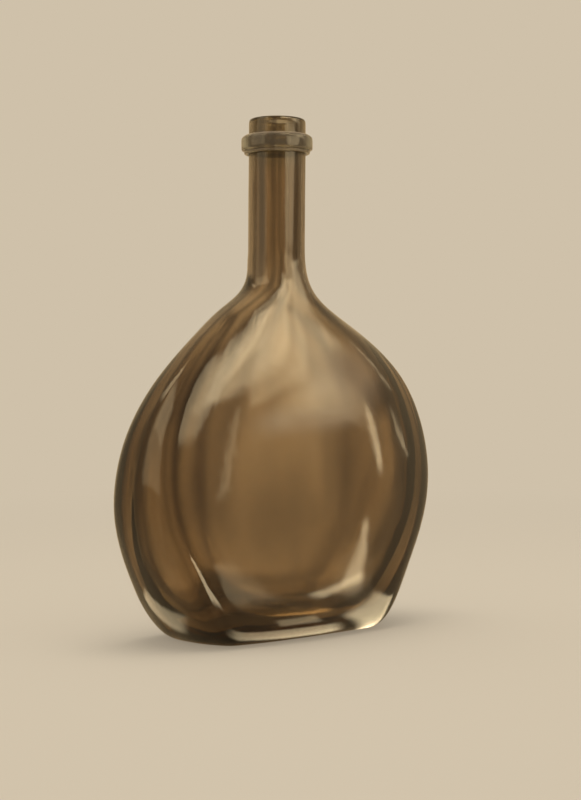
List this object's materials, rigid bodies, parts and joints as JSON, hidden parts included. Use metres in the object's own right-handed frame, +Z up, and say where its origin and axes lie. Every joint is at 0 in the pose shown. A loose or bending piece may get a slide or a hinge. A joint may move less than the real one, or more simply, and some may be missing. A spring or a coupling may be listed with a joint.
{
  "type": "whiskey flask",
  "caption": "Free-blown flattened glass flask with a long round neck, fire-polished lip and applied string ring; it stands open on a flat foot with a shallow push-up.",
  "frame": {"origin": "on the table plane under the foot, on the axis of the neck, at the middle of the flask's width and depth", "axes": "+X to the flask's right across its width, +Y to its back through its depth, +Z up along the neck; the front panel faces -Y"},
  "size_m": [0.1687, 0.076, 0.238],
  "materials": {
    "body_glass": "clear olive-amber bottle glass, fire-polished, with faint ripples",
    "ring_glass": "clear olive-amber bottle glass, tooled",
    "scar_glass": "rough broken glass"
  },
  "bodies": {
    "root": {"flask_body": "body_glass", "string_ring": "ring_glass", "pontil_scar": "scar_glass"}
  },
  "joints": []
}
